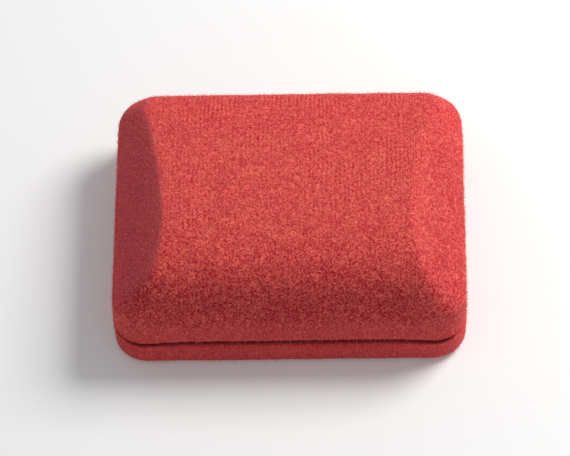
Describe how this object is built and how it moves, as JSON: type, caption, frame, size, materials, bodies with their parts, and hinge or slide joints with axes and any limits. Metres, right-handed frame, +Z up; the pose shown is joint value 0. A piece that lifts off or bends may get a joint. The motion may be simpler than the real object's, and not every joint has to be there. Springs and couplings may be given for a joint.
{
  "type": "jewellery presentation box",
  "caption": "Small velour-covered clam-shell jewellery box: slim base with a velvet pad, deep satin-lined lid with bevelled ends on a hidden hinge.",
  "frame": {"origin": "middle of the underside, on the surface that the box rests on", "axes": "+X along the hinge and the long side, +Y towards the hinge, +Z up; the front faces -Y"},
  "size_m": [0.074, 0.059, 0.0275],
  "materials": {
    "velour": "stretch knit velour, short red pile",
    "shell": "moulded, matt",
    "underside": "dark red paper-covered card",
    "gilt": "polished gilt strip",
    "card": "grey board",
    "foam": "thin open-cell foam",
    "pad_velvet": "ivory velvet, short pile",
    "satin": "ivory lining satin",
    "piping": "twisted satin cord",
    "wadding": "soft wadding",
    "hinge_steel": "pressed sheet, bright zinc",
    "spring_steel": "tempered strip, blued",
    "rivet_brass": "plain"
  },
  "bodies": {
    "base": {"base_cover": "velour", "base_shell": "shell", "bottom_panel": "underside", "base_collar": "gilt", "pad_board": "card", "pad_foam": "foam", "pad_cover": "pad_velvet", "hinge_leaf_base": "hinge_steel", "hinge_pin": "hinge_steel", "hinge_spring": "spring_steel", "hinge_rivets_base": "rivet_brass"},
    "lid": {"lid_cover": "velour", "lid_shell": "shell", "lid_lining_card": "card", "lid_lining_satin": "satin", "lid_wadding": "wadding", "lid_satin": "satin", "lid_piping": "piping", "hinge_leaf_lid": "hinge_steel", "hinge_rivets_lid": "rivet_brass"}
  },
  "joints": [
    {"name": "lid_hinge", "type": "hinge", "parent": "base", "child": "lid", "pos_m": [0, 0.0283, 0.0074], "axis": [-1, 0, 0], "range_deg": [0, 100]}
  ]
}
